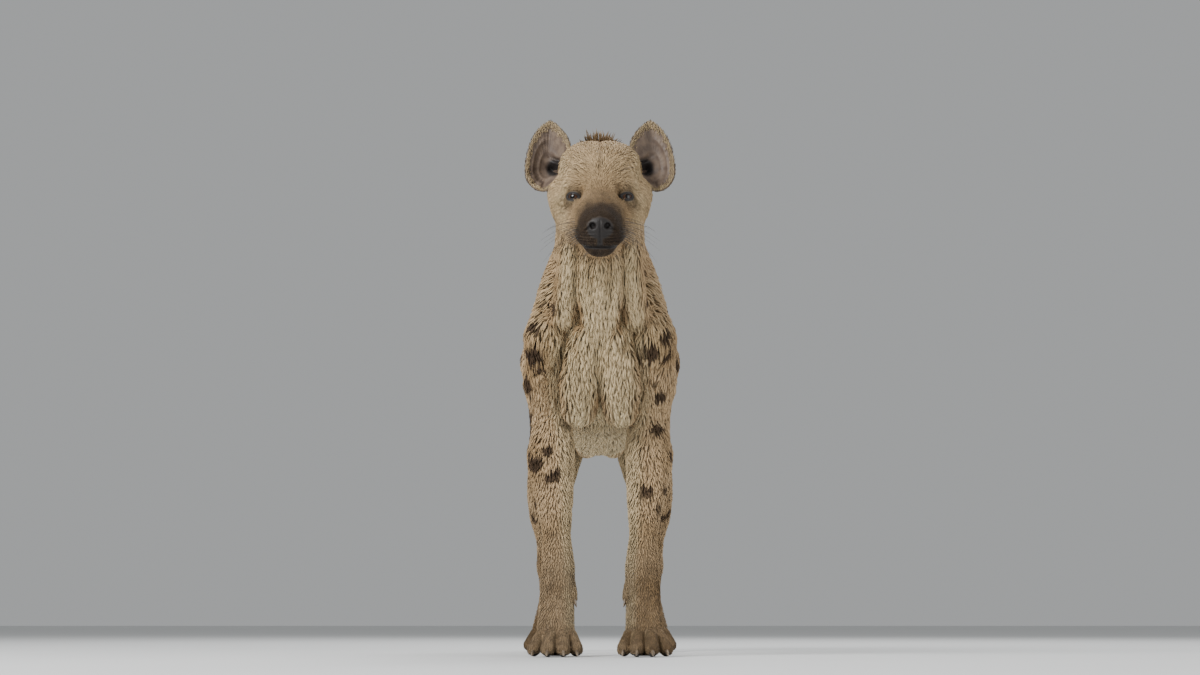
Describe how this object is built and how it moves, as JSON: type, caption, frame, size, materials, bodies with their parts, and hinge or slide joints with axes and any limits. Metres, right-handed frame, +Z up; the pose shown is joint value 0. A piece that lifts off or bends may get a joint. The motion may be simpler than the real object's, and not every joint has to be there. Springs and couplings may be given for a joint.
{
  "type": "spotted hyena",
  "caption": "Life-size still model of an adult spotted hyena standing square on its feet, head raised and ears up, with a short crest and a dark tail brush.",
  "frame": {"origin": "on the floor under the middle of the animal's box", "axes": "+Z up, +Y towards the tail, so the animal faces -Y, +X to its left"},
  "size_m": [0.3196, 1.2354, 0.9819],
  "materials": {
    "coat": "short coarse fur, buff with dark brown spots",
    "leg_coat": "very short fur, darker towards the feet",
    "dark_coat": "long dark hair of the tail brush",
    "ear_skin": "thin furred ear, bare and dark inside",
    "eye": "wet, very dark brown eye",
    "horn": "dull dark horn of the claws"
  },
  "bodies": {
    "root": {"torso": "coat", "neck": "coat", "head": "coat", "tail": "dark_coat", "ear_left": "ear_skin", "ear_right": "ear_skin", "eye_left": "eye", "eye_right": "eye", "foreleg_left_upper_arm": "coat", "foreleg_left_forearm": "leg_coat", "foreleg_left_paw": "leg_coat", "hindleg_left_thigh": "coat", "hindleg_left_gaskin": "leg_coat", "hindleg_left_paw": "leg_coat", "claw_fore_left_inner": "horn", "claw_fore_left_middle_inner": "horn", "claw_fore_left_middle_outer": "horn", "claw_fore_left_outer": "horn", "claw_hind_left_inner": "horn", "claw_hind_left_middle_inner": "horn", "claw_hind_left_middle_outer": "horn", "claw_hind_left_outer": "horn", "claw_fore_left_dew": "horn", "foreleg_right_upper_arm": "coat", "foreleg_right_forearm": "leg_coat", "foreleg_right_paw": "leg_coat", "hindleg_right_thigh": "coat", "hindleg_right_gaskin": "leg_coat", "hindleg_right_paw": "leg_coat", "claw_fore_right_inner": "horn", "claw_fore_right_middle_inner": "horn", "claw_fore_right_middle_outer": "horn", "claw_fore_right_outer": "horn", "claw_hind_right_inner": "horn", "claw_hind_right_middle_inner": "horn", "claw_hind_right_middle_outer": "horn", "claw_hind_right_outer": "horn", "claw_fore_right_dew": "horn"}
  },
  "joints": []
}
